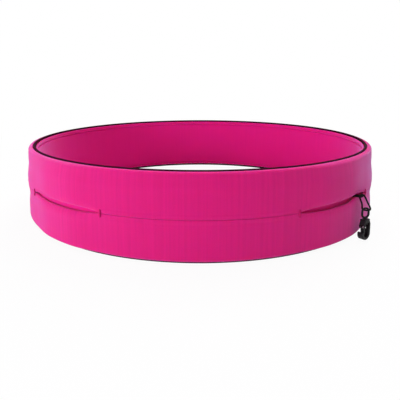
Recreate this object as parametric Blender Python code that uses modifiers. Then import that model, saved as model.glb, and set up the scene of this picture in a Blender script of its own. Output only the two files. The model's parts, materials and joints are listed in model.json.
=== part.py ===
"""A stretch running belt: a soft two-layer ring for the waist, with two pocket slits and a hanging key clip.

Metres, +Z up. The front faces -Y and right means +X. The origin is on the waist's axis, level with the
lower edge. A turn is the angle round the ring from the front centre, positive to the right.
"""

import math

import bmesh
import bpy
from mathutils import Vector

# Ring
BAND_HEIGHT = 0.076
RING_HALF_WIDTH = 0.189      # to the middle of the edging, at half height
RING_HALF_DEPTH = 0.138
WALL_LEAN = 0.012            # how much further out the lower edge lies than the upper edge
FRONT_COLUMNS = 11
SLIT_COLUMNS = 8
BACK_COLUMNS = 53
PANEL_ROWS = 6
ROW_SPREAD = 1.6             # above 1 the rows crowd towards the sewn edge

# Fabric, edging and fits
FABRIC = 0.0014
EDGING_RADIUS = 0.0012
EDGING_PROUD = 0.0008        # how far the edging stands past the fabric's edges
REST_FLAT = 0.0004           # what is pressed flat on the lower edging, where the belt stands
FIT_GAP = 0.0003
WELD = 0.00001
BULGE = 0.0035               # how far the outer layer stands out between its edges
SHOULDER = 0.014             # height over which the outer layer curves out from an edge

# Half-height seam and slits
SEAM_HEIGHT = 0.0385
SLIT_START = math.radians(25)
SLIT_END = math.radians(55)
SLIT_GAPE = 0.0050           # widest gap between the lips
SLIT_FULLNESS = 4            # the higher, the sooner the gap widens from the slit's ends
SLIT_RISE = 0.0026           # how far the slit's pull lifts its middle above the seam
SLIT_SWELL = 0.0018          # how far the pocket stands out behind its slit
LIP_FLARE = 0.001            # how far the upper lip hangs out past the lower one
LIP_FLARE_HEIGHT = 0.018
TAPE = 0.0008
TAPE_HEIGHT = 0.008
TACK_HEIGHT = 0.007
TACK_WIDTH = 0.0015
TACK_THICKNESS = 0.0008
TACK_EDGE = 0.0003

# Key loop and its anchor
CLIP_TURN = math.radians(48.5)
CORD_RADIUS = 0.00075
ANCHOR_OUT = 0.0032          # from the outer layer's face to the middle of the anchor's cross bar
ANCHOR_HALF_WIDTH = 0.002
ANCHOR_CORNER = 0.001
LOOP_CLEARANCE = 0.0004      # between the loop and the cross bar that it goes over
LOOP_OVER_BAR = 2 * CORD_RADIUS + LOOP_CLEARANCE
# The loop's route, out and up from the cross bar's middle
LOOP_ROUTE = [
    (0.0, LOOP_OVER_BAR),
    (LOOP_OVER_BAR + 0.0004, 0.0003),
    (0.0050, -0.0050),
    (0.0074, -0.0096),
    (0.0070, -0.0119),
    (0.0036, -0.0127),
    (0.0008, -0.0119),
    (0.0001, -0.0070),
    (-LOOP_OVER_BAR - 0.0003, -0.0003),
]
LOOP_LOWEST = 5              # the route's point that carries the clip
LOOP_STEPS = 4

# Clip: eye, stem and head
EYE_BAR_RADIUS = 0.001
EYE_HALF_WIDTH = 0.0030      # to the middle of the bar
EYE_STRAIGHT = 0.003
EYE_YAW = math.radians(-36)
STEM_RADIUS = 0.0014
HEAD_RADIUS = 0.0024
HEAD_HEIGHT = 0.0014
HEAD_ROOM = 0.0005           # between the head and the chamber's side walls
EYE_CLEARANCE = 0.0004       # between the eye and the collar

# Clip: hook, gate, pin and spring
HOOK_YAW = math.radians(80)
HOOK_LENGTH = 0.0200
HOOK_HALF_WIDTH = 0.0056
HOOK_TOP_HALF_WIDTH = 0.0046
BEND_ASIDE = 0.001           # how far the bend lies towards the nose
HOOK_THICKNESS = 0.0056
HOOK_BAR = 0.0025
HOOK_EDGE = 0.0004
COLLAR_HALF_WIDTH = 0.0033
COLLAR_HEIGHT = 0.0034
COLLAR_SHOULDER = 0.0016     # from the collar's top down to where its sides start to widen
HOOK_SHOULDER = 0.005        # and to where they have widened
NOSE_DEPTH = 0.0118          # from the collar's top down to the nose's tip
PIN_DEPTH = 0.0071
PIN_RADIUS = 0.0006
PIN_INSET = 0.0002
EAR_RADIUS = 0.0017
BARREL_RADIUS = 0.0014
GATE_WIDTH = 0.0032
GATE_EDGE = 0.0003
GATE_TIP_RADIUS = 0.00095
GATE_OVERLAP = 0.0016        # how far the gate's tip reaches below the nose's tip
NOSE_CLEARANCE = 0.0006
SPRING_LENGTH = 0.0011
SPRING_WALL = 0.0004

# Roundness and cutters
ROUND_STEPS = 24             # in a full circle
CORD_ROUNDING = 2
EDGE_ROUNDING = 1
SMOOTH_ANGLE = math.radians(40)
CUTTER_LENGTH = 2            # a cutter's length, in lengths of what it cuts through

FULL_TURN = 2 * math.pi


def clear_scene():
    for old in list(bpy.data.objects):
        bpy.data.objects.remove(old)


def new_collection(name):
    collection = bpy.data.collections.new(name)
    bpy.context.scene.collection.children.link(collection)
    return collection


def new_material(name, colour, roughness, metallic=0.0):
    material = bpy.data.materials.new(name)
    material.use_nodes = True
    shader = material.node_tree.nodes["Principled BSDF"]
    shader.inputs["Base Color"].default_value = (*colour, 1.0)
    shader.inputs["Roughness"].default_value = roughness
    shader.inputs["Metallic"].default_value = metallic
    return material


def add_part(name, data, material, parent=None, location=(0, 0, 0), rotation=(0, 0, 0)):
    part = bpy.data.objects.new(name, data)
    data.materials.append(material)
    part.parent = parent
    part.location = location
    part.rotation_euler = rotation
    PARTS.objects.link(part)
    return part


def add_frame(name, location, rotation, parent=None):
    frame = bpy.data.objects.new(name, None)
    frame.parent = parent
    frame.location = location
    frame.rotation_euler = rotation
    PARTS.objects.link(frame)
    return frame


def combine(part, name, mesh, operation, location=(0, 0, 0), rotation=(0, 0, 0)):
    """Join a shape to a part, or cut it out, keeping the shape as a hidden cutter."""
    cutter = bpy.data.objects.new(f"{part.name}_{name}", mesh)
    cutter.parent = part.parent
    cutter.location = location
    cutter.rotation_euler = rotation
    cutter.hide_render = True
    cutter.display_type = "WIRE"
    CUTTERS.objects.link(cutter)
    boolean = part.modifiers.new(name, "BOOLEAN")
    boolean.object = cutter
    boolean.operation = operation


def bmesh_to_mesh(name, shape, smooth=True):
    mesh = bpy.data.meshes.new(name)
    shape.to_mesh(mesh)
    shape.free()
    if smooth:
        mesh.shade_smooth()
        mesh.set_sharp_from_angle(angle=SMOOTH_ANGLE)
    return mesh


def cylinder(name, radius, length):
    """A cylinder along Z, centred on its origin."""
    shape = bmesh.new()
    bmesh.ops.create_cone(
        shape, cap_ends=True, segments=ROUND_STEPS, radius1=radius, radius2=radius, depth=length
    )
    return bmesh_to_mesh(name, shape)


def box(name, size):
    shape = bmesh.new()
    bmesh.ops.create_cube(shape, size=1.0)
    bmesh.ops.scale(shape, vec=size, verts=shape.verts)
    return bmesh_to_mesh(name, shape, smooth=False)


def tube_curve(name, points, radius, closed):
    """A round cord through the points."""
    curve = bpy.data.curves.new(name, "CURVE")
    curve.dimensions = "3D"
    curve.bevel_depth = radius
    curve.bevel_resolution = CORD_ROUNDING
    curve.use_fill_caps = True
    spline = curve.splines.new("POLY")
    spline.points.add(len(points) - 1)
    for knot, point in zip(spline.points, points):
        knot.co = (*point, 1.0)
    spline.use_cyclic_u = closed
    spline.use_smooth = True
    return curve


def outline_curve(name, points, thickness, edge):
    """A flat outline in XY as a plate, centred in Z, with its edges rounded."""
    curve = bpy.data.curves.new(name, "CURVE")
    curve.dimensions = "2D"
    curve.fill_mode = "BOTH"
    curve.extrude = thickness / 2 - edge
    curve.bevel_depth = edge
    curve.bevel_resolution = EDGE_ROUNDING
    curve.offset = -edge
    spline = curve.splines.new("POLY")
    spline.points.add(len(points) - 1)
    for knot, point in zip(spline.points, points):
        knot.co = (*point, 0.0, 1.0)
    spline.use_cyclic_u = True
    return curve


def mesh_from_curve(curve):
    """The curve's surface as a welded mesh, so that other shapes can cut it."""
    source = bpy.data.objects.new(curve.name, curve)
    PARTS.objects.link(source)
    depsgraph = bpy.context.evaluated_depsgraph_get()
    mesh = bpy.data.meshes.new_from_object(source.evaluated_get(depsgraph))
    bpy.data.objects.remove(source)
    shape = bmesh.new()
    shape.from_mesh(mesh)
    bmesh.ops.remove_doubles(shape, verts=shape.verts, dist=WELD)
    bmesh.ops.recalc_face_normals(shape, faces=shape.faces)
    bpy.data.meshes.remove(mesh)
    return bmesh_to_mesh(curve.name, shape)


def arc(centre, radius, start, stop):
    """Points on an arc, angles in degrees."""
    points = []
    steps = math.ceil(ROUND_STEPS * abs(stop - start) / 360)
    for step in range(steps + 1):
        angle = math.radians(start + (stop - start) * step / steps)
        points.append((centre[0] + radius * math.cos(angle), centre[1] + radius * math.sin(angle)))
    return points


# Places on the ring


def spread(start, stop, columns):
    """Evenly spaced turns from start towards stop, without stop itself."""
    return [start + (stop - start) * column / columns for column in range(columns)]


def front_turns():
    return spread(-SLIT_START, SLIT_START, FRONT_COLUMNS) + [SLIT_START]


def back_turns():
    return spread(SLIT_END, FULL_TURN - SLIT_END, BACK_COLUMNS) + [FULL_TURN - SLIT_END]


def ring_turns():
    """The turns of all the columns, from the left slit's front end right round to the same place."""
    right_slit = spread(SLIT_START, SLIT_END, SLIT_COLUMNS)
    left_slit = spread(FULL_TURN - SLIT_END, FULL_TURN - SLIT_START, SLIT_COLUMNS)
    return front_turns()[:-1] + right_slit + back_turns()[:-1] + left_slit + [FULL_TURN - SLIT_START]


def ring_normal(turn):
    return Vector((math.sin(turn) / RING_HALF_WIDTH, -math.cos(turn) / RING_HALF_DEPTH, 0)).normalized()


def ring_point(turn, out, height):
    """The point that lies out from the middle of the ring's wall, at a height."""
    lean = WALL_LEAN * (0.5 - height / BAND_HEIGHT)
    middle = Vector((RING_HALF_WIDTH * math.sin(turn), -RING_HALF_DEPTH * math.cos(turn), height))
    return middle + ring_normal(turn) * (out + lean)


def wall_rotation(turn):
    """X out from the leaning wall, Y round it to the right, Z up it."""
    normal = ring_normal(turn)
    return (0, -math.atan(WALL_LEAN / BAND_HEIGHT), math.atan2(normal.y, normal.x))


def slit_share(turn):
    """How far along a slit a turn lies, from 0 at its front end to 1 at its side end."""
    from_front = abs((turn + math.pi) % FULL_TURN - math.pi)
    return min(1.0, max(0.0, (from_front - SLIT_START) / (SLIT_END - SLIT_START)))


def slit_openness(turn):
    """How far a slit gapes at a turn: 0 at its ends and elsewhere, 1 at its widest."""
    return 1 - abs(2 * slit_share(turn) - 1) ** SLIT_FULLNESS


def slit_middle(turn):
    """The height midway between a slit's lips, which is the seam's own height past its ends."""
    return SEAM_HEIGHT + SLIT_RISE * math.sin(math.pi * slit_share(turn))


def edge_out():
    """From the edging's middle to the middle of the layer beside it."""
    return EDGING_RADIUS + FIT_GAP + FABRIC / 2


def outer_out(turn, height):
    """How far out the middle of the outer layer lies."""
    bulge = BULGE + SLIT_SWELL * slit_openness(turn)
    from_edge = min(height, BAND_HEIGHT - height) - EDGING_PROUD
    share = min(1.0, max(0.0, from_edge / SHOULDER))
    return edge_out() + bulge * math.sin(share * math.pi / 2)


def lip_gap(turn):
    """From the slit's middle to either lip, or from the seam to the layer's edge."""
    return FIT_GAP / 2 + SLIT_GAPE / 2 * slit_openness(turn)


def upper_point(turn, share):
    top = BAND_HEIGHT - EDGING_PROUD
    lip = slit_middle(turn) + lip_gap(turn)
    height = top - (top - lip) * share ** ROW_SPREAD
    hang = max(0.0, 1 - (height - lip) / LIP_FLARE_HEIGHT) ** 2
    flare = LIP_FLARE * slit_openness(turn) * hang
    return ring_point(turn, outer_out(turn, height) + flare, height)


def lower_point(turn, share):
    lip = slit_middle(turn) - lip_gap(turn)
    height = EDGING_PROUD + (lip - EDGING_PROUD) * share ** ROW_SPREAD
    return ring_point(turn, outer_out(turn, height), height)


def inner_point(turn, share):
    height = EDGING_PROUD + (BAND_HEIGHT - 2 * EDGING_PROUD) * share
    return ring_point(turn, -edge_out(), height)


def tape_point(turn, share):
    height = SEAM_HEIGHT + TAPE_HEIGHT * (share - 0.5)
    behind = FABRIC / 2 + FIT_GAP + TAPE / 2
    return ring_point(turn, outer_out(turn, height) - behind, height)


# Sewn pieces


def ring_sheet(name, turns, rows, point_at, thickness, material):
    """A layer round the ring, through point_at(turn, share) with share running 0 to 1 across it."""
    sheet = bmesh.new()
    columns = len(turns) - 1
    bmesh.ops.create_grid(sheet, x_segments=columns, y_segments=rows, size=0.5)
    for vert in sheet.verts:
        turn = turns[round((vert.co.x + 0.5) * columns)]
        vert.co = point_at(turn, vert.co.y + 0.5)
    bmesh.ops.remove_doubles(sheet, verts=sheet.verts, dist=WELD)
    part = add_part(name, bmesh_to_mesh(name, sheet), material)
    solidify = part.modifiers.new("thickness", "SOLIDIFY")
    solidify.thickness = thickness
    solidify.offset = 0
    solidify.use_even_offset = True


def edging(name, height, material):
    points = [ring_point(turn, 0, height) for turn in ring_turns()[:-1]]
    tube = tube_curve(name, points, EDGING_RADIUS, closed=True)
    return add_part(name, mesh_from_curve(tube), material)


def press_flat(part):
    """Cut a part off level with the ground."""
    width = CUTTER_LENGTH * 2 * RING_HALF_WIDTH
    depth = CUTTER_LENGTH * 2 * RING_HALF_DEPTH
    ground = box("ground", (width, depth, BAND_HEIGHT))
    combine(part, "ground", ground, "DIFFERENCE", (0, 0, -BAND_HEIGHT / 2))


def bar_tack(name, turn, material):
    out = outer_out(turn, SEAM_HEIGHT) + FABRIC / 2 + FIT_GAP + TACK_THICKNESS / 2
    size = (TACK_THICKNESS, TACK_WIDTH, TACK_HEIGHT)
    place = ring_point(turn, out, SEAM_HEIGHT)
    part = add_part(name, box(name, size), material, location=place, rotation=wall_rotation(turn))
    bevel = part.modifiers.new("edges", "BEVEL")
    bevel.width = TACK_EDGE
    bevel.segments = 1


def build_belt(knit, thread, edging_black):
    turns = ring_turns()
    ring_sheet("outer_upper_panel", turns, PANEL_ROWS, upper_point, FABRIC, knit)
    ring_sheet("outer_lower_panel", turns, PANEL_ROWS, lower_point, FABRIC, knit)
    ring_sheet("inner_panel", turns, 1, inner_point, FABRIC, knit)
    ring_sheet("front_seam_tape", front_turns(), 1, tape_point, TAPE, knit)
    ring_sheet("back_seam_tape", back_turns(), 1, tape_point, TAPE, knit)
    edging("top_edging", BAND_HEIGHT - EDGING_RADIUS, edging_black)
    press_flat(edging("bottom_edging", EDGING_RADIUS - REST_FLAT, edging_black))
    for side, sign in (("right", 1), ("left", -1)):
        bar_tack(f"bar_tack_{side}_front", sign * SLIT_START, thread)
        bar_tack(f"bar_tack_{side}_side", sign * SLIT_END, thread)


# Key loop


def smooth_ring(points, steps):
    """A smooth closed curve through the points."""
    count = len(points)
    ring = []
    for index in range(count):
        before, start, stop, after = (Vector(points[(index + shift) % count]) for shift in (-1, 0, 1, 2))
        for step in range(steps):
            t = step / steps
            slope_in = (stop - before) / 2
            slope_out = (after - start) / 2
            ring.append(
                start * (2 * t**3 - 3 * t**2 + 1)
                + slope_in * (t**3 - 2 * t**2 + t)
                + stop * (3 * t**2 - 2 * t**3)
                + slope_out * (t**3 - t**2)
            )
    return ring


def build_key_loop(clip_frame, cord):
    """The doubled cord sewn to the inner layer, and the loop that hangs on its cross bar."""
    layers_apart = outer_out(CLIP_TURN, slit_middle(CLIP_TURN)) + edge_out()
    seat = -ANCHOR_OUT - layers_apart * math.cos(math.atan(WALL_LEAN / BAND_HEIGHT)) + FIT_GAP
    side = ANCHOR_HALF_WIDTH - ANCHOR_CORNER
    route = [(seat, -ANCHOR_HALF_WIDTH)]
    route += arc((-ANCHOR_CORNER, -side), ANCHOR_CORNER, -90, 0)
    route += arc((-ANCHOR_CORNER, side), ANCHOR_CORNER, 0, 90)
    route += [(seat, ANCHOR_HALF_WIDTH)]
    anchor_points = [(out, along, 0) for out, along in route]
    anchor = tube_curve("loop_anchor", anchor_points, CORD_RADIUS, closed=False)
    add_part("loop_anchor", anchor, cord, clip_frame)
    loop_points = [(point.x, 0, point.y) for point in smooth_ring(LOOP_ROUTE, LOOP_STEPS)]
    loop = tube_curve("key_loop", loop_points, CORD_RADIUS, closed=True)
    add_part("key_loop", loop, cord, clip_frame)


# Clip


def eye_top():
    """The top of the eye's bar, above the middle of the cord that it hangs on."""
    return CORD_RADIUS + FIT_GAP + 2 * EYE_BAR_RADIUS


def eye_height():
    return 2 * (EYE_HALF_WIDTH + EYE_BAR_RADIUS) + EYE_STRAIGHT


def build_eye(clip_frame, plastic):
    """The ring that hangs on the loop, with the swivel's stem and head below it."""
    out, up = LOOP_ROUTE[LOOP_LOWEST]
    eye_frame = add_frame("eye_frame", (out, 0, up), (0, 0, EYE_YAW), clip_frame)
    middle = eye_top() - eye_height() / 2
    bends = arc((0, middle + EYE_STRAIGHT / 2), EYE_HALF_WIDTH, 0, 180)
    bends += arc((0, middle - EYE_STRAIGHT / 2), EYE_HALF_WIDTH, 180, 360)
    ring_points = [(0, along, height) for along, height in bends]
    ring = tube_curve("clip_eye", ring_points, EYE_BAR_RADIUS, closed=True)
    eye = add_part("clip_eye", mesh_from_curve(ring), plastic, eye_frame)
    ring_bottom = eye_top() - eye_height()
    head_top = ring_bottom - EYE_CLEARANCE - COLLAR_HEIGHT - FIT_GAP
    stem_top = ring_bottom + EYE_BAR_RADIUS
    stem_bottom = head_top - HEAD_HEIGHT / 2
    stem = cylinder("stem", STEM_RADIUS, stem_top - stem_bottom)
    combine(eye, "stem", stem, "UNION", (0, 0, (stem_top + stem_bottom) / 2))
    head = cylinder("head", HEAD_RADIUS, HEAD_HEIGHT)
    combine(eye, "head", head, "UNION", (0, 0, head_top - HEAD_HEIGHT / 2))


def pin_place():
    return (EAR_RADIUS - HOOK_TOP_HALF_WIDTH, -PIN_DEPTH)


def hook_outline():
    """The hook's outline, from the collar's top left corner, with the collar's top at height 0."""
    inside = HOOK_HALF_WIDTH - HOOK_BAR
    bend = (-BEND_ASIDE, HOOK_HALF_WIDTH - HOOK_LENGTH)
    nose = (HOOK_BAR / 2 - HOOK_HALF_WIDTH - BEND_ASIDE, -NOSE_DEPTH - HOOK_BAR / 2)
    chamber = HEAD_RADIUS + HEAD_ROOM
    pin = pin_place()
    ear_start = math.degrees(math.acos((-chamber - pin[0]) / EAR_RADIUS))
    points = [(-COLLAR_HALF_WIDTH, 0), (COLLAR_HALF_WIDTH, 0), (COLLAR_HALF_WIDTH, -COLLAR_SHOULDER)]
    points += [(HOOK_TOP_HALF_WIDTH, -HOOK_SHOULDER)]
    points += arc(bend, HOOK_HALF_WIDTH, 0, -180)
    points += arc(nose, HOOK_BAR / 2, 180, 0)
    points += arc(bend, inside, 180, 360)
    points += [(chamber, -HOOK_SHOULDER), (chamber, -COLLAR_HEIGHT), (-chamber, -COLLAR_HEIGHT)]
    points += arc(pin, EAR_RADIUS, ear_start, -180)
    points += [(-HOOK_TOP_HALF_WIDTH, -HOOK_SHOULDER), (-COLLAR_HALF_WIDTH, -COLLAR_SHOULDER)]
    return points


def gate_outline(length):
    """A bar that narrows from the barrel, at the origin, to its tip below."""
    slant = math.degrees(math.asin((BARREL_RADIUS - GATE_TIP_RADIUS) / length))
    points = arc((0, 0), BARREL_RADIUS, -slant, 180 + slant)
    points += arc((0, -length), GATE_TIP_RADIUS, 180 + slant, 360 - slant)
    return points


def build_hook(hook_frame, plastic):
    outline = outline_curve("clip_hook", hook_outline(), HOOK_THICKNESS, HOOK_EDGE)
    hook = add_part("clip_hook", mesh_from_curve(outline), plastic, hook_frame)
    bore = cylinder("bore", STEM_RADIUS + FIT_GAP, CUTTER_LENGTH * COLLAR_HEIGHT)
    combine(hook, "bore", bore, "DIFFERENCE", (0, -COLLAR_HEIGHT / 2, 0), (math.pi / 2, 0, 0))
    slot_reach = BARREL_RADIUS + FIT_GAP
    slot = box("slot", (CUTTER_LENGTH * 2 * slot_reach, 2 * slot_reach, GATE_WIDTH + 2 * FIT_GAP))
    combine(hook, "slot", slot, "DIFFERENCE", (*pin_place(), 0))
    pin_hole = cylinder("pin_hole", PIN_RADIUS + FIT_GAP, CUTTER_LENGTH * HOOK_THICKNESS)
    combine(hook, "pin_hole", pin_hole, "DIFFERENCE", (*pin_place(), 0))


def build_gate(hook_frame, plastic, steel):
    pin = pin_place()
    nose_inside = HOOK_BAR - HOOK_HALF_WIDTH - BEND_ASIDE
    tip_out = nose_inside + NOSE_CLEARANCE + GATE_TIP_RADIUS - pin[0]
    tip_down = NOSE_DEPTH + GATE_OVERLAP - PIN_DEPTH
    outline = outline_curve("clip_gate", gate_outline(math.hypot(tip_out, tip_down)), GATE_WIDTH, GATE_EDGE)
    tilt = (0, 0, math.atan2(tip_out, tip_down))
    gate = add_part("clip_gate", mesh_from_curve(outline), plastic, hook_frame, (*pin, 0), tilt)
    pin_hole = cylinder("pin_hole", PIN_RADIUS + FIT_GAP, CUTTER_LENGTH * GATE_WIDTH)
    combine(gate, "pin_hole", pin_hole, "DIFFERENCE", (*pin, 0))
    recess_depth = SPRING_LENGTH + FIT_GAP
    recess = cylinder("spring_recess", BARREL_RADIUS + FIT_GAP, 2 * recess_depth)
    combine(gate, "spring_recess", recess, "DIFFERENCE", (*pin, GATE_WIDTH / 2))
    pin_mesh = cylinder("gate_pin", PIN_RADIUS, HOOK_THICKNESS - 2 * PIN_INSET)
    add_part("gate_pin", pin_mesh, steel, hook_frame, (*pin, 0))
    bore = PIN_RADIUS + FIT_GAP
    spring_mesh = cylinder("gate_spring", bore + SPRING_WALL, SPRING_LENGTH)
    spring_place = (*pin, GATE_WIDTH / 2 - SPRING_LENGTH / 2)
    spring = add_part("gate_spring", spring_mesh, steel, hook_frame, spring_place)
    spring_bore = cylinder("spring_bore", bore, CUTTER_LENGTH * SPRING_LENGTH)
    combine(spring, "bore", spring_bore, "DIFFERENCE", spring_place)


def build_clip():
    cord = new_material("black_elastic", (0.012, 0.011, 0.012), 0.85)
    plastic = new_material("black_plastic", (0.015, 0.014, 0.015), 0.42)
    steel = new_material("spring_steel", (0.55, 0.55, 0.56), 0.35, 1.0)
    rotation = wall_rotation(CLIP_TURN)
    height = slit_middle(CLIP_TURN)
    wall_face = ring_point(CLIP_TURN, outer_out(CLIP_TURN, height) + FABRIC / 2, height)
    lean = -rotation[1]
    away = ring_normal(CLIP_TURN) * math.cos(lean) + Vector((0, 0, math.sin(lean)))
    clip_frame = add_frame("clip_frame", wall_face + away * ANCHOR_OUT, rotation)
    build_key_loop(clip_frame, cord)
    build_eye(clip_frame, plastic)
    out, up = LOOP_ROUTE[LOOP_LOWEST]
    collar_top = up + eye_top() - eye_height() - EYE_CLEARANCE
    hook_frame = add_frame("hook_frame", (out, 0, collar_top), (math.pi / 2, 0, HOOK_YAW), clip_frame)
    build_hook(hook_frame, plastic)
    build_gate(hook_frame, plastic, steel)


clear_scene()
PARTS = new_collection("running_belt")
CUTTERS = new_collection("cutters")
build_belt(
    knit=new_material("pink_knit", (0.78, 0.022, 0.25), 0.8),
    thread=new_material("pink_thread", (0.55, 0.015, 0.17), 0.7),
    edging_black=new_material("black_edging", (0.02, 0.012, 0.015), 0.75),
)
build_clip()
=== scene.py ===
"""Looks for the stretch running belt: knitted layers, edging, stitching, key loop and clip.

Metres, +Z up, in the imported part's own frame. The front faces -Y and right means +X. A turn is the angle
round the ring from the front centre, positive to the right. A section is the outline of a sewn layer cut
across the ring, as distances out from the middle of the wall and heights.
"""

import json
import math

import bmesh
import bpy
import numpy as np
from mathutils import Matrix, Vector


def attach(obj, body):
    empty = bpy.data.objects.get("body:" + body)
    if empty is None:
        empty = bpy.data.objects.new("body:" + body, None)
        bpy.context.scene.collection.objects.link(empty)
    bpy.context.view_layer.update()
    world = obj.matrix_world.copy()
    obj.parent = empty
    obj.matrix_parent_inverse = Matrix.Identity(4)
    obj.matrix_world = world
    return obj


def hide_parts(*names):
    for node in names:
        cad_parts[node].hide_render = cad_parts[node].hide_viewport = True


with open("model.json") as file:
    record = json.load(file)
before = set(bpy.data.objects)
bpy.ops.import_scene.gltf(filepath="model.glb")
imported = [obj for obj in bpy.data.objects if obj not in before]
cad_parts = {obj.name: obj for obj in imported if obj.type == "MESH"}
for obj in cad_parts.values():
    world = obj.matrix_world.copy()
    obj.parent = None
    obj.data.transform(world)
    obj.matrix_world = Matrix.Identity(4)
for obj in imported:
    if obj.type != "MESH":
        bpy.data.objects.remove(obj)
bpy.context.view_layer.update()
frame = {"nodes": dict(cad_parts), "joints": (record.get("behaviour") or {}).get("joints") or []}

FULL_TURN = 2 * math.pi

# The ring, as in the plain solids
BAND_HEIGHT = 0.076
RING_HALF_WIDTH = 0.189      # to the middle of the edging, at half height
RING_HALF_DEPTH = 0.138
WALL_LEAN = 0.012            # how much further out the lower edge lies than the upper edge
LEAN_ANGLE = math.atan(WALL_LEAN / BAND_HEIGHT)
FABRIC = 0.0014
EDGING_RADIUS = 0.0012
EDGING_PROUD = 0.0008        # how far the upper edging stands past the outer layer's edge
FIT_GAP = 0.0003
EDGE_OUT = EDGING_RADIUS + FIT_GAP + FABRIC / 2    # from the wall's middle to each layer's, at the edges
BULGE = 0.0035               # how far the outer layer stands out between its edges

# The half-height seam and its slits, as in the plain solids
SEAM_HEIGHT = 0.0385
SLIT_START = math.radians(25)
SLIT_END = math.radians(55)
SLIT_FULLNESS = 4            # the higher, the sooner the gap widens from the slit's ends
SLIT_SWELL = 0.0018          # how far the pocket stands out behind its slit
TAPE = 0.0008
TAPE_HEIGHT = 0.008
TACK_HEIGHT = 0.007
TACK_WIDTH = 0.0015

# The key loop and its anchor, as in the plain solids
CLIP_TURN = math.radians(48.5)
CORD_RADIUS = 0.00075
ANCHOR_OUT = 0.0032          # from the outer layer's face to the middle of the anchor's cross bar
ANCHOR_HALF_WIDTH = 0.002
ANCHOR_CORNER = 0.001
LOOP_CLEARANCE = 0.0004      # between the loop and the cross bar that it goes over
LOOP_OVER_BAR = 2 * CORD_RADIUS + LOOP_CLEARANCE
# The loop's route, out and up from the cross bar's middle
LOOP_ROUTE = [
    (0.0, LOOP_OVER_BAR),
    (LOOP_OVER_BAR + 0.0004, 0.0003),
    (0.0050, -0.0050),
    (0.0074, -0.0096),
    (0.0070, -0.0119),
    (0.0036, -0.0127),
    (0.0008, -0.0119),
    (0.0001, -0.0070),
    (-LOOP_OVER_BAR - 0.0003, -0.0003),
]

# The lips of the slits, which lie closer than in the plain solids and level with the seam
SLIT_GAPE = 0.0043           # the widest gap between them
SWELL_RAMP = 0.35            # the share of a slit, from each end, over which its swell grows
CORD_LIFT = 0.0018           # how far the key loop's anchor lifts the lips where it comes out
CORD_LIFT_TURN = 0.06        # the turn over which it does so, in radians
CORD_PINCH = 0.5             # how much less the slit gapes there
UPPER_LIP_ROLL = 0.0018      # how far the upper lip turns in
LOWER_LIP_ROLL = (0.0021, 0.0015)    # how far the lower lip does, on the left and on the right
LIP_ROLL_HEIGHT = 0.005
HEM = 0.0004                 # what the folded lip adds to half the cloth's thickness
HEM_HEIGHT = 0.0045
HEM_WHOLE = 0.3              # how open the slit is where its lips first have the whole hem

# The seam, where the two outer panels are sewn together
SEAM_GAPE = 0.0002           # what shows between them
SEAM_EDGE = 0.0004           # how far a panel's sewn edge rounds off
SEAM_RIDGE = 0.00025         # how much the allowance behind the seam lifts the cloth
SEAM_RIDGE_EDGE = 0.0012
SEAM_PARTED = 0.25           # how open a slit is where it first has no such ridge

# The outer layer's upper and lower edges
UPPER_EDGE = BAND_HEIGHT - EDGING_PROUD - FABRIC / 2
LOWER_EDGE = 0.0026          # just above the lower edging
BOTTOM_SHOULDER = 0.0028     # heights over which the edges round over
TOP_SHOULDER = 0.0022
TOP_SQUARE_FRONT = 0.45      # the share of the wall's fullness that the upper shoulder has, at the front
TOP_SQUARE_SIDE = 0.8        # the same at the sides
TOP_TAPER = 0.014            # the height over which the rest of that fullness comes

# The shallow folds across the ring's sides
SIDE_FOLDS = [(0.060, -0.0007), (0.045, 0.0006), (0.027, -0.0008)]    # heights, and how far out
SIDE_FOLD_HEIGHT = 0.006
SIDE_FOLDS_START = (math.radians(48), math.radians(66))
SIDE_FOLDS_END = (math.radians(105), math.radians(135))

# The inner layer
POCKET_LIFT = (0.0052, 0.0046)    # how far it comes out behind the left and the right slit
POCKET_LIFT_HEIGHT = 0.013
POCKET_LIFT_TURN = math.radians(9)    # the stretch past a slit's ends over which it goes back
INNER_BELOW_RIM = 0.0021     # how far the upper edging stands up past it
INNER_OVER_REST = 0.0030     # how high it ends over what the belt stands on

# The lower edging, which the outer layer draws out and stretches thin
LOWER_EDGING_RADIUS = 0.0009
LOWER_EDGING_FRONT = 0.0020  # how far out it lies at the front
LOWER_EDGING_SIDE = 0.0028   # and at the sides
LOWER_EDGING_BACK = -0.0008  # round the back it lies nearer the inner layer, as thick as the upper one
LOWER_EDGING_TURNS = (math.radians(100), math.radians(130))    # where it passes from one to the other

# The sizes that the three layers are cut to, before they are stretched on to the ring
OUTER_CUT = (0.040, 0.95)
INNER_CUT = (0.076, 0.93)

# Stitching
STITCH_BELOW_RIM = 0.0065
STITCH_GROOVE = 0.0009       # how far the stitches draw the inner layer towards the outer one
STITCH_GROOVE_WIDTH = 0.0009
STITCH_PITCH = 0.0026
STITCH_LENGTH = 0.0018
THREAD_RADIUS = 0.00022
STITCH_ARCH = 1.6 * THREAD_RADIUS    # how far a stitch rises from its ends to its middle
STITCH_SUNK = 0.6 * THREAD_RADIUS    # how deep its ends lie in the cloth
TACK_PASSES = 22             # how often a bar tack's zigzag crosses it
TACK_TURN_OUT = 0.0002       # how far out from the cloth the zigzag turns back
TACK_CROSSING_OUT = 0.0007   # and how far out it crosses
TACK_RAIL_OUT = 0.0003       # how far out the straight stitches under it lie
TACK_RAIL_ASIDE = 0.4        # how far aside they lie, as a share of half the tack's width

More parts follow.
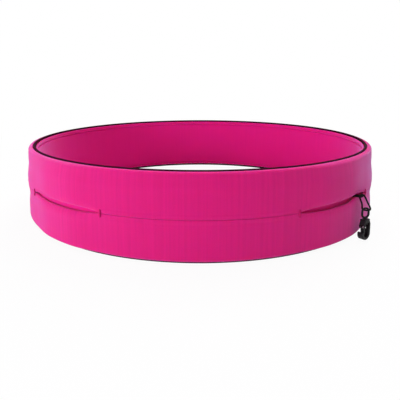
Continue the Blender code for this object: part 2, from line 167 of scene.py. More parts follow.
# How finely the meshes are divided
COLUMNS = 720                # round the ring
PANEL_ROWS = 44
ROW_CROWDING = 0.88          # how much closer a panel's rows lie at its edges, from 0 up to 1
RIM_STRIP = 0.011            # the part of the inner layer near a rim that has closer rows
RIM_ROWS = 20
MIDDLE_ROWS = 22
CAP_STEPS = 5                # round the edge of a layer
TAPE_ROWS = 7
TAPE_FRONT_COLUMNS = 101
TAPE_BACK_COLUMNS = 501
EDGING_SIDES = 16
CORD_SIDES = 14
THREAD_SIDES = 6
LOOP_STEPS = 12              # from each point of the loop's route to the next
ANCHOR_LEG_POINTS = 12
ANCHOR_CORNER_STEPS = 10
STITCH_POINTS = 6
TACK_STEPS = 3               # from each point of the zigzag to the next
TACK_RAIL_POINTS = 8
LENGTH_SAMPLES = 4000        # places round the ring that lengths are measured between

# The photograph's camera
CAMERA_DISTANCE = 0.3829
CAMERA_PITCH = 0.402         # how far it looks down, in radians
CAMERA_AIM_HEIGHT = -0.0053
CAMERA_LENS = 26.85
CAMERA_SENSOR = 36.0
CAMERA_NEAREST = 0.01

# The studio
WHITE = (1.0, 1.0, 1.0, 1.0)
FLOOR_SIZE = 12.0
FLOOR_GREY = (0.85, 0.85, 0.85, 1.0)
FLOOR_WHITE = 0.94           # how white the floor is seen where it takes the shadow
FLOOR_FADE = (0.22, 0.6)     # the distances from the middle over which it goes all white
SKY_LIGHT = (0.96, 0.95, 1.0, 1.0)
SKY_STRENGTH = 0.2
LAMP_AIM = (0.0, 0.0, 0.04)


# Places on the ring, for single turns or for arrays of them


def ring_normal(turn):
    """The level direction out from the ring's wall, along X and along Y."""
    across = np.sin(turn) / RING_HALF_WIDTH
    back = -np.cos(turn) / RING_HALF_DEPTH
    size = np.hypot(across, back)
    return across / size, back / size


def ring_point(turn, out, height):
    """The points that lie out from the middle of the ring's wall, at heights, as an array of places."""
    across, back = ring_normal(turn)
    reach = out + WALL_LEAN * (0.5 - height / BAND_HEIGHT)
    x = RING_HALF_WIDTH * np.sin(turn) + across * reach
    y = -RING_HALF_DEPTH * np.cos(turn) + back * reach
    return np.stack(np.broadcast_arrays(x, y, height), axis=-1)


def ring_length(turns):
    """The distance round the ring at each turn, from the first one."""
    places = ring_point(turns, 0.0, SEAM_HEIGHT)
    steps = np.linalg.norm(np.diff(places, axis=0), axis=1)
    return np.concatenate([[0.0], np.cumsum(steps)])


def wall_axes(turn):
    """The directions out from the leaning wall, round it to the right and up it."""
    across, back = ring_normal(turn)
    level = math.cos(LEAN_ANGLE)
    away = np.array([across * level, back * level, math.sin(LEAN_ANGLE)])
    along = np.array([-back, across, 0.0])
    return away, along, np.cross(away, along)


def from_front(turn):
    """How far a turn lies from the front centre, to either side."""
    return np.abs((turn + math.pi) % FULL_TURN - math.pi)


def by_side(turn, left, right):
    """The one value left of the front centre, and the other right of it."""
    return np.where(np.sin(turn) < 0, left, right)


def smooth_step(value, low, high):
    """0 up to low and 1 from high on, with a smooth rise between them."""
    share = np.clip((value - low) / (high - low), 0.0, 1.0)
    return share * share * (3 - 2 * share)


def smooth_bump(distance, width):
    """1 at no distance, falling away smoothly on both sides."""
    return np.exp(-((distance / width) ** 2))


# Shapes of the sewn layers


def slit_share(turn):
    """How far along a slit a turn lies, from 0 at its front end to 1 at its side end."""
    return np.clip((from_front(turn) - SLIT_START) / (SLIT_END - SLIT_START), 0.0, 1.0)


def slit_openness(turn):
    """How far a slit gapes at a turn: 0 at its ends and elsewhere, 1 at its widest."""
    return 1 - np.abs(2 * slit_share(turn) - 1) ** SLIT_FULLNESS


def near_cord(turn):
    """1 where the key loop's anchor comes out of the slit, and 0 away from it."""
    return smooth_bump(turn - CLIP_TURN, CORD_LIFT_TURN)


def slit_middle(turn):
    """The height midway between a slit's lips: the seam's own, but lifted by the key loop's anchor."""
    return SEAM_HEIGHT + CORD_LIFT * near_cord(turn)


def lip_gap(turn):
    """Half the gap between the two panels, at the slits and along the seam."""
    return SEAM_GAPE / 2 + SLIT_GAPE / 2 * slit_openness(turn) * (1 - CORD_PINCH * near_cord(turn))


def lip_roll(turn, from_lip, roll):
    """How far in a slit's lip turns, at a distance up or down from its edge."""
    return roll * slit_openness(turn) * np.clip(1 - from_lip / LIP_ROLL_HEIGHT, 0.0, 1.0) ** 2


def hem_share(turn):
    """How much of the hem a panel's edge at half height has: none at the seam, and all of it at a slit."""
    return smooth_step(slit_openness(turn), 0.0, HEM_WHOLE)


def lip_edge(turn):
    """How far a panel's edge at half height rounds off: little at the seam, and a full hem at a slit."""
    return SEAM_EDGE + (FABRIC / 2 + HEM - SEAM_EDGE) * hem_share(turn)


def hem_half(turn, from_lip):
    """Half the cloth's thickness, with the fold along each slit's lip."""
    return FABRIC / 2 + HEM * hem_share(turn) * (1 - smooth_step(from_lip, 0.0, HEM_HEIGHT))


def side_slack(turn, height):
    """The shallow folds across the ring's two sides, where the cloth is least stretched."""
    aside = from_front(turn)
    share = smooth_step(aside, *SIDE_FOLDS_START) * (1 - smooth_step(aside, *SIDE_FOLDS_END))
    return share * sum(out * smooth_bump(height - at, SIDE_FOLD_HEIGHT) for at, out in SIDE_FOLDS)


def front_to_side(turn, front, side):
    """The front's value at the front and the back, and the side's at the sides."""
    return front + (side - front) * np.sin(turn) ** 2


def shoulder(from_edge, reach):
    """How full the outer layer is at a distance from its sewn edge: a quarter round from 0 up to 1."""
    share = np.clip(from_edge / reach, 0.0, 1.0)
    return np.sqrt(1 - (1 - share) ** 2)


def outer_out(turn, height):
    """How far out the middle of the outer layer lies."""
    along = slit_share(turn)
    swell = smooth_step(along, 0.0, SWELL_RAMP) * (1 - smooth_step(along, 1 - SWELL_RAMP, 1.0))
    bulge = BULGE + SLIT_SWELL * swell
    from_top = UPPER_EDGE - height
    square = front_to_side(turn, TOP_SQUARE_FRONT, TOP_SQUARE_SIDE)
    top = square * shoulder(from_top, TOP_SHOULDER) + (1 - square) * smooth_step(from_top, 0.0, TOP_TAPER)
    full = np.minimum(top, shoulder(height - LOWER_EDGE, BOTTOM_SHOULDER))
    sewn = 1 - smooth_step(slit_openness(turn), 0.0, SEAM_PARTED)
    behind = TAPE_HEIGHT / 2 - np.abs(height - SEAM_HEIGHT)
    ridge = SEAM_RIDGE * sewn * smooth_step(behind, 0.0, SEAM_RIDGE_EDGE)
    return EDGE_OUT + bulge * full + ridge + side_slack(turn, height)


def inner_out(turn, height):
    """How far out the middle of the inner layer lies: grooved at its stitches, lifted behind the slits."""
    aside = from_front(turn)
    mouth = smooth_step(aside, SLIT_START - POCKET_LIFT_TURN, SLIT_START)
    mouth = mouth * (1 - smooth_step(aside, SLIT_END, SLIT_END + POCKET_LIFT_TURN))
    near_mouth = smooth_bump(height - slit_middle(turn), POCKET_LIFT_HEIGHT)
    lift = by_side(turn, *POCKET_LIFT) * mouth * near_mouth
    from_rim = np.minimum(height, BAND_HEIGHT - height)
    groove = STITCH_GROOVE * smooth_bump(from_rim - STITCH_BELOW_RIM, STITCH_GROOVE_WIDTH)
    return -EDGE_OUT + lift + groove


# Meshes


def new_object(name, mesh, material, body):
    """A piece of the belt that rides on one of its bodies."""
    piece = bpy.data.objects.new(name, mesh)
    bpy.context.scene.collection.objects.link(piece)
    mesh.materials.append(material)
    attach(piece, body)
    return piece


def skin_mesh(name, places, around, along, closed):
    """A skin of quads over outlines set side by side, with its lengths kept as the map named cloth.

    places holds them by outline and by place round it. closed says whether the last outline joins the first.
    """
    columns, rows = places.shape[:2]
    column, row = np.meshgrid(np.arange(columns - 1 + closed), np.arange(rows), indexing="ij")
    corners = [(column, row), (column + 1, row), (column + 1, row + 1), (column, row + 1)]
    faces = np.stack([(c % columns) * rows + r % rows for c, r in corners], axis=-1).reshape(-1, 4)
    mesh = bpy.data.meshes.new(name)
    mesh.from_pydata(places.reshape(-1, 3).tolist(), [], faces.tolist())
    cloth = mesh.uv_layers.new(name="cloth")
    spots = np.stack([np.stack([around[c, r], along[c, r]], axis=-1) for c, r in corners], axis=2)
    cloth.data.foreach_set("uv", spots.reshape(-1).astype(np.float32))
    mesh.shade_smooth()
    shape = bmesh.new()
    shape.from_mesh(mesh)
    if shape.calc_volume(signed=True) < 0:
        bmesh.ops.reverse_faces(shape, faces=shape.faces)
    shape.to_mesh(mesh)
    shape.free()
    return mesh


def layer_mesh(name, turns, outs, heights, half, closed, low_edge=None, high_edge=None):
    """A sewn layer with round edges. outs and heights hold the middle of the layer, by column and by row.

    low_edge and high_edge say how far its edges round off, in half rounds where they aren't given.
    """
    out_step = np.gradient(outs, axis=1)
    height_step = np.gradient(heights, axis=1)
    size = np.hypot(out_step, height_step)
    along = np.stack([out_step / size, height_step / size], axis=-1)
    away = np.stack([along[..., 1], -along[..., 0]], axis=-1)
    middle = np.stack([outs, heights], axis=-1)
    thick = np.broadcast_to(half, outs.shape)[..., None]
    caps = []
    for end, sign, edge in ((-1, 1, high_edge), (0, -1, low_edge)):
        edge = thick[:, end] if edge is None else edge
        for step in range(1, CAP_STEPS):
            angle = math.pi * step / CAP_STEPS
            turned = thick[:, end] * math.cos(angle) * away[:, end] + edge * math.sin(angle) * along[:, end]
            caps.append((middle[:, end] + sign * turned)[:, None])
    face = middle + thick * away
    back = (middle - thick * away)[:, ::-1]
    section = np.concatenate([face, *caps[: CAP_STEPS - 1], back, *caps[CAP_STEPS - 1 :]], axis=1)
    places = ring_point(turns[:, None], section[..., 0], section[..., 1])
    steps = np.linalg.norm(np.diff(section, axis=1, append=section[:, :1]), axis=-1)
    profile = np.concatenate([np.zeros((len(turns), 1)), np.cumsum(steps, axis=1)], axis=1)
    length = ring_length(np.append(turns, turns[0] + FULL_TURN) if closed else turns)
    around = np.broadcast_to(length[:, None], (len(length), profile.shape[1]))
    profile = np.concatenate([profile, profile[:1]], axis=0) if closed else profile
    return skin_mesh(name, places, around, profile, closed)


def tube_mesh(name, path, radii, sides, closed):
    """A round tube along a path. radii is one number, or one for each place on the path."""
    path = np.asarray(path, float)
    ahead = np.roll(path, -1, axis=0) - np.roll(path, 1, axis=0)
    if not closed:
        ahead[0] = path[1] - path[0]
        ahead[-1] = path[-1] - path[-2]
    ahead /= np.linalg.norm(ahead, axis=1)[:, None]
    nearly_upright = 0.9
    across = (1.0, 0.0, 0.0) if abs(ahead[0][2]) >= nearly_upright else (0.0, 0.0, 1.0)
    side = np.cross(ahead[0], across)
    first_sides = []
    second_sides = []
    for direction in ahead:
        side = side - direction * (side @ direction)
        side /= np.linalg.norm(side)
        first_sides.append(side)
        second_sides.append(np.cross(direction, side))
    angles = FULL_TURN * np.arange(sides) / sides
    radii = np.broadcast_to(radii, len(path))[:, None, None]
    ring = np.cos(angles)[None, :, None] * np.array(first_sides)[:, None]
    ring = ring + np.sin(angles)[None, :, None] * np.array(second_sides)[:, None]
    places = path[:, None] + radii * ring
    line = np.append(path, path[:1], axis=0) if closed else path
    length = np.concatenate([[0.0], np.cumsum(np.linalg.norm(np.diff(line, axis=0), axis=1))])
    around = np.broadcast_to(length[:, None], (len(length), sides + 1))
    along = np.broadcast_to((np.arange(sides + 1) / sides)[None], around.shape)
    mesh = skin_mesh(name, places, around, along, closed)
    if not closed:
        close_ends(mesh)
    return mesh


def close_ends(mesh):
    """Closes a tube's two ends with a flat face each."""
    shape = bmesh.new()
    shape.from_mesh(mesh)
    bmesh.ops.contextual_create(shape, geom=[edge for edge in shape.edges if edge.is_boundary])
    bmesh.ops.recalc_face_normals(shape, faces=shape.faces)
    shape.to_mesh(mesh)
    shape.free()


def smooth_line(points, steps, closed):
    """A smooth curve through the points."""
    points = np.asarray(points, float)
    count = len(points)
    t = np.arange(steps)[:, None] / steps
    line = []
    for index in range(count if closed else count - 1):
        before, start, stop, after = (points[(index + shift) % count] for shift in (-1, 0, 1, 2))
        if not closed:
            before = points[max(index - 1, 0)]
            after = points[min(index + 2, count - 1)]
        line.append(
            start * (2 * t**3 - 3 * t**2 + 1)
            + (stop - before) / 2 * (t**3 - 2 * t**2 + t)
            + stop * (3 * t**2 - 2 * t**3)
            + (after - start) / 2 * (t**3 - t**2)
        )
    line = np.concatenate(line)
    return line if closed else np.append(line, points[-1:], axis=0)


# Materials


class Nodes:
    """Adds nodes to a tree and links them."""

    def __init__(self, tree):
        self.tree = tree

    def add(self, kind, inputs=(), **settings):
        node = self.tree.nodes.new(kind)
        for name, value in settings.items():
            setattr(node, name, value)
        for socket, value in dict(inputs).items():
            self.set(node.inputs[socket], value)
        return node

    def set(self, socket, value):
        if isinstance(value, bpy.types.NodeSocket):
            self.tree.links.new(value, socket)
        else:
            socket.default_value = value

    def math(self, operation, first, second):
        return self.add("ShaderNodeMath", {0: first, 1: second}, operation=operation).outputs[0]

    def cloth(self, scale):
        """The cloth map's lengths, in metres, multiplied both ways."""
        lengths = self.add("ShaderNodeUVMap", uv_map="cloth").outputs["UV"]
        node = self.add("ShaderNodeVectorMath", {0: lengths, 1: scale}, operation="MULTIPLY")
        return node.outputs[0]

    def place(self, scale):
        """The surface's own place, in metres, multiplied."""
        place = self.add("ShaderNodeTexCoord").outputs["Object"]
        return self.add("ShaderNodeVectorMath", {0: place, "Scale": scale}, operation="SCALE").outputs[0]

    def noise(self, vector, detail=2.0, roughness=0.5):
        inputs = {"Vector": vector, "Scale": 1.0, "Detail": detail, "Roughness": roughness}
        return self.add("ShaderNodeTexNoise", inputs).outputs["Fac"]

    def wave(self, vector, pitch, direction, distortion=0.0):
        """Bands that repeat at a pitch. The node itself has 20 radians to a length of 1 at a scale of 1."""
        scale = FULL_TURN / (20 * pitch)
        inputs = {"Vector": vector, "Scale": scale, "Distortion": distortion, "Detail": 1.0}
        return self.add("ShaderNodeTexWave", inputs, bands_direction=direction).outputs["Fac"]

    def spread(self, value, low, high):
        """A value from 0 to 1 moved to the range from low to high."""
        return self.add("ShaderNodeMapRange", {"Value": value, "To Min": low, "To Max": high}).outputs[0]

    def tint(self, colour, amounts):
        """A colour multiplied by each of the amounts."""
        factor = amounts[0]
        for amount in amounts[1:]:
            factor = self.math("MULTIPLY", factor, amount)
        node = self.add("ShaderNodeVectorMath", {0: colour, "Scale": factor}, operation="SCALE")
        return node.outputs[0]

    def surface(self, **values):
        """Sets the surface shader's inputs, whose names have _ in place of spaces."""
        shader = self.tree.nodes["Principled BSDF"]
        for name, value in values.items():
            self.set(shader.inputs[name.replace("_", " ")], value)
        return shader

    def bump(self, height, distance, strength):
        inputs = {"Height": height, "Distance": distance, "Strength": strength}
        self.surface(Normal=self.add("ShaderNodeBump", inputs).outputs[0])

    def seen_directly(self):
        """1 where the surface or the sky is seen straight, in a reflection or through glass."""
        rays = self.add("ShaderNodeLightPath").outputs
        straight_or_reflected = self.math("MAXIMUM", rays["Is Camera Ray"], rays["Is Glossy Ray"])
        return self.math("MAXIMUM", straight_or_reflected, rays["Is Transmission Ray"])

    def mix_into(self, output, factor, first, second):
        """Puts a mix of two shaders on the tree's output."""
        inputs = {"Fac": factor, 1: first.outputs[0], 2: second.outputs[0]}
        mix = self.add("ShaderNodeMixShader", inputs)
        self.set(self.tree.nodes[output].inputs["Surface"], mix.outputs[0])


def new_material(name):
    material = bpy.data.materials.new(name)
    material.use_nodes = True
    return material, Nodes(material.node_tree)


def knit_material(name, colour, rib_pitch, course_pitch, streak):
    """Fine rib knit: ribs up the band, rows of loops across them, and streaks where the yarn varies. The
    colour has painted shade in the hollows between the ribs and between the rows of loops.
    """
    streaks_per_metre = (420.0, 9.0, 1.0)
    patches_per_metre = (14.0, 20.0, 1.0)
    fibres_per_metre = (1500.0, 1100.0, 1.0)
    material, nodes = new_material(name)
    lengths = nodes.cloth((1.0, 1.0, 1.0))
    ribs = nodes.wave(lengths, rib_pitch, "X", distortion=1.0)
    courses = nodes.wave(lengths, course_pitch, "Y", distortion=1.0)
    streaks = nodes.noise(nodes.cloth(streaks_per_metre), detail=3.0, roughness=0.6)
    patches = nodes.noise(nodes.cloth(patches_per_metre))
    yarn = nodes.noise(nodes.cloth(fibres_per_metre))
    amounts = [
        # painted shade: the rib and loop-row waves also darken the colour where the bump sinks, in their
        # hollows
        nodes.spread(ribs, 0.95, 1.02),
        nodes.spread(courses, 0.98, 1.02),
        nodes.spread(streaks, 1 - streak, 1 + streak),
        nodes.spread(patches, 0.96, 1.04),
        nodes.spread(yarn, 0.92, 1.08),
    ]
    uneven = nodes.math("MULTIPLY", ribs, nodes.spread(streaks, 0.6, 1.2))
    loops = nodes.math("MULTIPLY", courses, nodes.spread(ribs, 0.3, 1.0))
    height = nodes.math("ADD", uneven, nodes.math("MULTIPLY", loops, 0.6))
    height = nodes.math("ADD", height, nodes.math("MULTIPLY", yarn, 0.4))
    nodes.bump(height, distance=0.00012, strength=0.5)
    nodes.surface(
        Base_Color=nodes.tint(colour, amounts),
        Roughness=nodes.spread(yarn, 0.78, 0.92),
        Subsurface_Weight=0.7,
        Subsurface_Radius=(1.0, 0.05, 0.25),
        Subsurface_Scale=0.0025,
        Sheen_Weight=0.5,
        Sheen_Roughness=0.45,
        Sheen_Tint=(0.55, 0.58, 1.0, 1.0),
        Specular_IOR_Level=0.1,
    )
    return material


def cord_material(name, colour, strand_pitch, strand_depth):
    """A braided or twisted cord: strands that cross on a slant, from the tube's own map, with painted shade
    in the hollows between the strands.
    """
    strands_round = 4.0
    fibres = (2400.0, 30.0, 1.0)    # to a metre of cord, and to once round it
    material, nodes = new_material(name)
    slants = [nodes.cloth((1.0 / strand_pitch, strands_round * sign, 1.0)) for sign in (1, -1)]
    one, other = [nodes.wave(slant, 1.0, "DIAGONAL", distortion=0.3) for slant in slants]
    braid = nodes.math("MAXIMUM", one, other)
    fuzz = nodes.noise(nodes.cloth(fibres))
    height = nodes.math("ADD", braid, nodes.math("MULTIPLY", fuzz, 0.3))
    nodes.bump(height, distance=strand_depth, strength=0.7)
    nodes.surface(
        # painted shade: the braid wave darkens the colour where the bump sinks, between the strands
        Base_Color=nodes.tint(colour, [nodes.spread(braid, 0.6, 1.15), nodes.spread(fuzz, 0.8, 1.2)]),
        Roughness=nodes.spread(fuzz, 0.7, 0.9),
        Specular_IOR_Level=0.04,
    )
    return material


def thread_material(name, colour, twist_pitch):
    """Twisted sewing thread, with painted shade in the grooves of its twist."""
    strands_round = 2.0
    shades = (300.0, 3.0, 1.0)      # to a metre of thread, and to once round it
    material, nodes = new_material(name)
    twist = nodes.wave(nodes.cloth((1.0 / twist_pitch, strands_round, 1.0)), 1.0, "DIAGONAL")
    shade = nodes.noise(nodes.cloth(shades))
    nodes.bump(twist, distance=0.00006, strength=0.6)
    nodes.surface(
        # painted shade: the twist wave darkens the colour where the bump sinks, in the grooves between
        # strands
        Base_Color=nodes.tint(colour, [nodes.spread(twist, 0.82, 1.08), nodes.spread(shade, 0.88, 1.12)]),
        Roughness=nodes.spread(shade, 0.6, 0.8),
        Specular_IOR_Level=0.15,
    )
    return material


def plastic_material(name, colour):
    """Moulded plastic with a fine spark-eroded grain and faint flow marks."""
    grains_per_metre = 9000.0
    flow_marks_per_metre = 260.0
    material, nodes = new_material(name)
    grain = nodes.noise(nodes.place(grains_per_metre))
    flow = nodes.noise(nodes.place(flow_marks_per_metre), detail=3.0)
    height = nodes.math("ADD", grain, nodes.math("MULTIPLY", flow, 0.8))
    nodes.bump(height, distance=0.00004, strength=0.5)
    nodes.surface(
        Base_Color=nodes.tint(colour, [nodes.spread(flow, 0.8, 1.2), nodes.spread(grain, 0.9, 1.1)]),
        Roughness=nodes.spread(flow, 0.36, 0.5),
        Specular_IOR_Level=0.14,
    )
    return material


def steel_material(name, colour):
    """Drawn wire, with fine marks on it and a little unevenness."""
    marks_per_metre = 4000.0
    material, nodes = new_material(name)
    marks = nodes.noise(nodes.place(marks_per_metre), detail=3.0)
    nodes.bump(marks, distance=0.00002, strength=0.4)
    nodes.surface(
        Base_Color=nodes.tint(colour, [nodes.spread(marks, 0.85, 1.05)]),
        Roughness=nodes.spread(marks, 0.25, 0.42),
        Metallic=1.0,
    )
    return material


RIBS = {"rib_pitch": 0.0009, "course_pitch": 0.0007}
KNIT = knit_material("pink_knit", (0.83, 0.011, 0.230), streak=0.13, **RIBS)
LINING = knit_material("pink_lining", (0.83, 0.007, 0.255), streak=0.06, **RIBS)
THREAD = thread_material("pink_thread", (0.62, 0.006, 0.14), twist_pitch=0.0006)
EDGING = cord_material("black_edging", (0.030, 0.001, 0.011), strand_pitch=0.0024, strand_depth=0.00015)
ELASTIC = cord_material("black_elastic", (0.014, 0.013, 0.014), strand_pitch=0.0016, strand_depth=0.00010)
PLASTIC = plastic_material("black_plastic", (0.009, 0.008, 0.009))
STEEL = steel_material("spring_steel", (0.55, 0.55, 0.56))


# Sewn layers and edging

ALL_TURNS = np.linspace(-SLIT_START, FULL_TURN - SLIT_START, COLUMNS, endpoint=False)


def make_edging(name, node, out, height, radius):
    mesh = tube_mesh(name, ring_point(ALL_TURNS, out, height), radius, EDGING_SIDES, True)
    piece = new_object(name, mesh, EDGING, "belt")
    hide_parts(node)


def make_upper_edging():
    make_edging("edging_top", "top_edging", 0.0, BAND_HEIGHT - EDGING_RADIUS, EDGING_RADIUS)


def make_lower_edging():
    """The lower edging, drawn out at the front and sides by the outer layer and in at the back."""
    drawn = front_to_side(ALL_TURNS, LOWER_EDGING_FRONT, LOWER_EDGING_SIDE)
    back = smooth_step(from_front(ALL_TURNS), *LOWER_EDGING_TURNS)
    out = drawn + (LOWER_EDGING_BACK - drawn) * back
    radius = LOWER_EDGING_RADIUS + (EDGING_RADIUS - LOWER_EDGING_RADIUS) * back
    make_edging("edging_bottom", "bottom_edging", out, radius, radius)


def sewn_layer(name, node, outs, heights, half, flat, material, **edges):
    mesh = layer_mesh(name, ALL_TURNS, outs, heights, half, True, **edges)
    piece = new_object(name, mesh, material, "belt")
    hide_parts(node)


def panel_rows():
    """Shares of a panel's height from 0 to 1, closer together near its edges, where it curves most."""
    share = np.linspace(0, 1, PANEL_ROWS)
    return share - ROW_CROWDING * np.sin(FULL_TURN * share) / FULL_TURN


def make_upper_layer():
    column = ALL_TURNS[:, None]
    edge = lip_edge(column)
    lip = slit_middle(column) + lip_gap(column) + edge
    heights = lip + (UPPER_EDGE - lip) * panel_rows()
    outs = outer_out(column, heights) - lip_roll(column, heights - lip, UPPER_LIP_ROLL)
    half = hem_half(column, heights - lip)
    sewn_layer("upper_cloth", "outer_upper_panel", outs, heights, half, OUTER_CUT, KNIT, low_edge=edge)


def make_lower_layer():
    column = ALL_TURNS[:, None]
    edge = lip_edge(column)
    lip = slit_middle(column) - lip_gap(column) - edge
    heights = LOWER_EDGE + (lip - LOWER_EDGE) * panel_rows()
    outs = outer_out(column, heights) - lip_roll(column, lip - heights, by_side(column, *LOWER_LIP_ROLL))
    half = hem_half(column, lip - heights)
    sewn_layer("lower_cloth", "outer_lower_panel", outs, heights, half, OUTER_CUT, KNIT, high_edge=edge)


def make_inner_layer():
    column = ALL_TURNS[:, None]
    lower = np.linspace(INNER_OVER_REST + FABRIC / 2, RIM_STRIP, RIM_ROWS, endpoint=False)
    middle = np.linspace(RIM_STRIP, BAND_HEIGHT - RIM_STRIP, MIDDLE_ROWS)
    upper = np.linspace(INNER_BELOW_RIM + FABRIC / 2, RIM_STRIP, RIM_ROWS, endpoint=False)
    heights = np.concatenate([lower, middle, BAND_HEIGHT - upper[::-1]]) + 0 * column
    outs = inner_out(column, heights)
    sewn_layer("inner_cloth", "inner_panel", outs, heights, FABRIC / 2, INNER_CUT, LINING)


def make_seam_tape(place, start, stop, columns):
    """The strip behind the seam, which the two outer panels are sewn to."""
    name = f"tape_{place}"
    turns = np.linspace(start, stop, columns)
    heights = SEAM_HEIGHT + TAPE_HEIGHT * np.linspace(-0.5, 0.5, TAPE_ROWS)[None] + 0 * turns[:, None]
    cloth = outer_out(turns[:, None], SEAM_HEIGHT + 0 * heights) - SEAM_RIDGE
    outs = cloth - (FABRIC / 2 + FIT_GAP + TAPE / 2)
    mesh = layer_mesh(name, turns, outs, heights, TAPE / 2, False)
    piece = new_object(name, mesh, LINING, "belt")
    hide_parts(f"{place}_seam_tape")


make_upper_edging()
make_lower_edging()
make_upper_layer()
make_lower_layer()
make_inner_layer()
make_seam_tape("front", -SLIT_START, SLIT_START, TAPE_FRONT_COLUMNS)
make_seam_tape("back", SLIT_END, FULL_TURN - SLIT_END, TAPE_BACK_COLUMNS)


# Stitching


def thread_piece(name, paths):
    """Lengths of thread joined into one piece."""
    joined = bmesh.new()
    for number, path in enumerate(paths):
        mesh = tube_mesh(f"{name}_{number}", path, THREAD_RADIUS, THREAD_SIDES, False)
        joined.from_mesh(mesh)
        bpy.data.meshes.remove(mesh)
    whole = bpy.data.meshes.new(name)
    joined.to_mesh(whole)
    joined.free()
    whole.shade_smooth()
    piece = new_object(name, whole, THREAD, "belt")
    return piece


def make_stitch_row(name, height):
    """A row of lock stitches on the inner layer's face, sunk at both ends."""
    fine = np.linspace(0, FULL_TURN, LENGTH_SAMPLES)
    length = ring_length(fine)
    count = int(length[-1] / STITCH_PITCH)
    share = np.linspace(0, 1, STITCH_POINTS)
    rise = STITCH_ARCH * np.sin(math.pi * share) - STITCH_SUNK
    paths = []
    for start in np.arange(count) * length[-1] / count:
        turns = np.interp(start + share * STITCH_LENGTH, length, fine)
        face = inner_out(turns, height) - FABRIC / 2
        paths.append(ring_point(turns, face - rise, height + 0 * share))
    thread_piece(name, paths)


def make_bar_tack(place, turn):
    """A bar of close zigzag stitches over two straight ones."""
    away, along, up = wall_axes(turn)
    middle = ring_point(turn, outer_out(turn, SEAM_HEIGHT) + FABRIC / 2, SEAM_HEIGHT)
    half_width = TACK_WIDTH / 2
    half_height = TACK_HEIGHT / 2 - THREAD_RADIUS
    zigzag = []
    for step in range(TACK_PASSES + 1):
        height = half_height * (2 * step / TACK_PASSES - 1)
        side = half_width if step % 2 else -half_width
        zigzag.append(middle + away * TACK_TURN_OUT + along * side + up * height)
        if step < TACK_PASSES:
            crossing = height + half_height / TACK_PASSES
            zigzag.append(middle + away * TACK_CROSSING_OUT + up * crossing)
    paths = [smooth_line(zigzag, TACK_STEPS, False)]
    for side in (-TACK_RAIL_ASIDE, TACK_RAIL_ASIDE):
        rail = middle + away * TACK_RAIL_OUT + along * side * half_width
        paths.append(np.linspace(rail - up * half_height, rail + up * half_height, TACK_RAIL_POINTS))
    piece = thread_piece(f"tack_{place}", paths)
    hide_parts(f"bar_tack_{place}")


make_stitch_row("stitching_top", BAND_HEIGHT - STITCH_BELOW_RIM)
make_stitch_row("stitching_bottom", STITCH_BELOW_RIM)
for side, sign in (("right", 1), ("left", -1)):
    make_bar_tack(f"{side}_front", sign * SLIT_START)
    make_bar_tack(f"{side}_side", sign * SLIT_END)


# Key loop and clip

JOINTS = {joint["name"]: joint for joint in frame["joints"]}
LOOP_PLACE = np.array(JOINTS["loop_swing"]["pos_m"])
LOOP_OUT = np.array(JOINTS["eye_swing"]["axis"])
LOOP_ALONG = -np.array(JOINTS["loop_swing"]["axis"])
LOOP_UP = np.array(JOINTS["hook_swivel"]["axis"])


def loop_point(out, along, up):
    """A place measured from the middle of the cross bar that the key loop hangs on."""
    return LOOP_PLACE + LOOP_OUT * out + LOOP_ALONG * along + LOOP_UP * up


def cord_piece(name, node, body, path):
    mesh = tube_mesh(name, path, CORD_RADIUS, CORD_SIDES, False)
    piece = new_object(name, mesh, ELASTIC, body)
    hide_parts(node)
    return piece


def make_key_loop():
    route = smooth_line(LOOP_ROUTE, LOOP_STEPS, True)
    route = np.append(route, route[:1], axis=0)
    path = [loop_point(out, 0.0, up) for out, up in route]
    cord_piece("key_cord", "key_loop", "loop", path)


def make_loop_anchor():
    """The doubled cord from the inner layer out through the slit, bent into the loop's cross bar."""
    height = slit_middle(CLIP_TURN)
    layers_apart = float(outer_out(CLIP_TURN, height) - inner_out(CLIP_TURN, height))
    seat = -ANCHOR_OUT - layers_apart * math.cos(LEAN_ANGLE)
    leg = np.linspace(seat, -ANCHOR_CORNER, ANCHOR_LEG_POINTS)[:-1]
    angles = np.radians(np.linspace(-90, 0, ANCHOR_CORNER_STEPS + 1))
    half = [(out, -ANCHOR_HALF_WIDTH) for out in leg]
    for angle in angles:
        along = ANCHOR_CORNER * (1 + math.sin(angle)) - ANCHOR_HALF_WIDTH
        half.append((ANCHOR_CORNER * (math.cos(angle) - 1), along))
    other_half = [(out, -along) for out, along in reversed(half)]
    cord_piece("anchor_cord", "loop_anchor", "belt", [loop_point(*spot, 0.0) for spot in half + other_half])


def make_moulding(name, node, body, voxel, rounds):
    """A moulded piece in the shape of its plain solid, with its edges softened."""
    mesh = frame["nodes"][node].data.copy()
    mesh.name = name
    mesh.materials.clear()
    piece = new_object(name, mesh, PLASTIC, body)
    remesh = piece.modifiers.new("skin", "REMESH")
    remesh.mode = "VOXEL"
    remesh.voxel_size = voxel
    remesh.use_smooth_shade = True
    soften = piece.modifiers.new("edges", "SMOOTH")
    soften.factor = 0.5
    soften.iterations = rounds
    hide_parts(node)


def finish_steel(node):
    """Gives a plain solid that is shown as it is a steel finish."""
    mesh = frame["nodes"][node].data
    mesh.materials.clear()
    mesh.materials.append(STEEL)
    mesh.shade_smooth()


make_key_loop()
make_loop_anchor()
make_moulding("clip_ring", "clip_eye", "eye", voxel=0.00014, rounds=6)
make_moulding("clip_body", "clip_hook", "hook", voxel=0.00014, rounds=10)
make_moulding("clip_lever", "clip_gate", "gate", voxel=0.00012, rounds=6)
finish_steel("gate_pin")
finish_steel("gate_spring")


# Studio


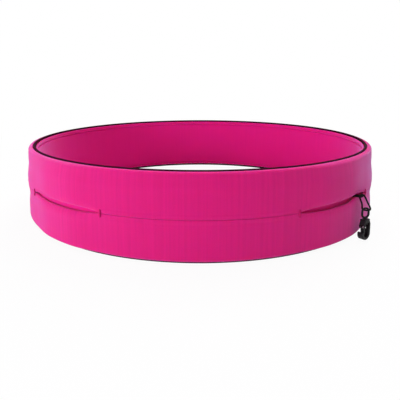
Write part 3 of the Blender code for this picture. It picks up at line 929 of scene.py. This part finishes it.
def make_camera():
    camera = bpy.data.objects.new("camera", bpy.data.cameras.new("camera"))
    bpy.context.scene.collection.objects.link(camera)
    camera.data.lens = CAMERA_LENS
    camera.data.sensor_width = CAMERA_SENSOR
    camera.data.clip_start = CAMERA_NEAREST
    camera.location = (
        0.0,
        -CAMERA_DISTANCE * math.cos(CAMERA_PITCH),
        CAMERA_AIM_HEIGHT + CAMERA_DISTANCE * math.sin(CAMERA_PITCH),
    )
    camera.rotation_euler = (math.pi / 2 - CAMERA_PITCH, 0, 0)
    bpy.context.scene.camera = camera


def make_floor():
    """A pale floor that takes the belt's shadow, nearly white where it is seen and all white further out."""
    bpy.ops.mesh.primitive_plane_add(size=FLOOR_SIZE, location=(0, 0, 0))
    floor = bpy.context.object
    floor.name = "floor"
    material, nodes = new_material("pale_floor")
    pale = nodes.surface(Base_Color=FLOOR_GREY, Roughness=1.0, Specular_IOR_Level=0.0)
    white = nodes.add("ShaderNodeEmission", {"Color": WHITE, "Strength": 1.0})
    place = nodes.add("ShaderNodeTexCoord").outputs["Object"]
    from_middle = nodes.add("ShaderNodeVectorMath", {0: place}, operation="LENGTH").outputs["Value"]
    near, far = FLOOR_FADE
    fade = {"Value": from_middle, "From Min": near, "From Max": far, "To Min": FLOOR_WHITE, "To Max": 1.0}
    whiteness = nodes.add("ShaderNodeMapRange", fade, interpolation_type="SMOOTHSTEP").outputs[0]
    share = nodes.math("MULTIPLY", nodes.seen_directly(), whiteness)
    nodes.mix_into("Material Output", share, pale, white)
    floor.data.materials.append(material)


def make_world():
    """A faint even light from all round, with white where it is seen."""
    world = bpy.data.worlds.new("studio")
    bpy.context.scene.world = world
    world.use_nodes = True
    nodes = Nodes(world.node_tree)
    light = world.node_tree.nodes["Background"]
    nodes.set(light.inputs["Color"], SKY_LIGHT)
    nodes.set(light.inputs["Strength"], SKY_STRENGTH)
    white = nodes.add("ShaderNodeBackground", {"Color": WHITE, "Strength": 1.0})
    nodes.mix_into("World Output", nodes.seen_directly(), light, white)


def make_softbox(name, place, width, height, watts, colour=(1.0, 1.0, 1.0)):
    """A lamp with a wide soft front, turned to the belt."""
    data = bpy.data.lights.new(name, "AREA")
    data.shape = "RECTANGLE"
    data.size = width
    data.size_y = height
    data.energy = watts
    data.color = colour
    lamp = bpy.data.objects.new(name, data)
    bpy.context.scene.collection.objects.link(lamp)
    lamp.location = place
    lamp.rotation_euler = (Vector(LAMP_AIM) - Vector(place)).to_track_quat("-Z", "Y").to_euler()


make_camera()
make_floor()
make_world()
make_softbox("key", (-1.2, -0.8, 0.25), width=0.6, height=0.5, watts=11.4, colour=(1.0, 0.96, 1.1))
make_softbox("front", (-0.6, -1.3, 0.6), width=0.8, height=0.8, watts=1.4)
make_softbox("top", (0.0, 0.0, 1.5), width=1.0, height=1.0, watts=9.0)
make_softbox("back", (0.35, 0.8, 1.2), width=1.0, height=1.0, watts=16.5)

bpy.context.scene.view_settings.view_transform = "Standard"
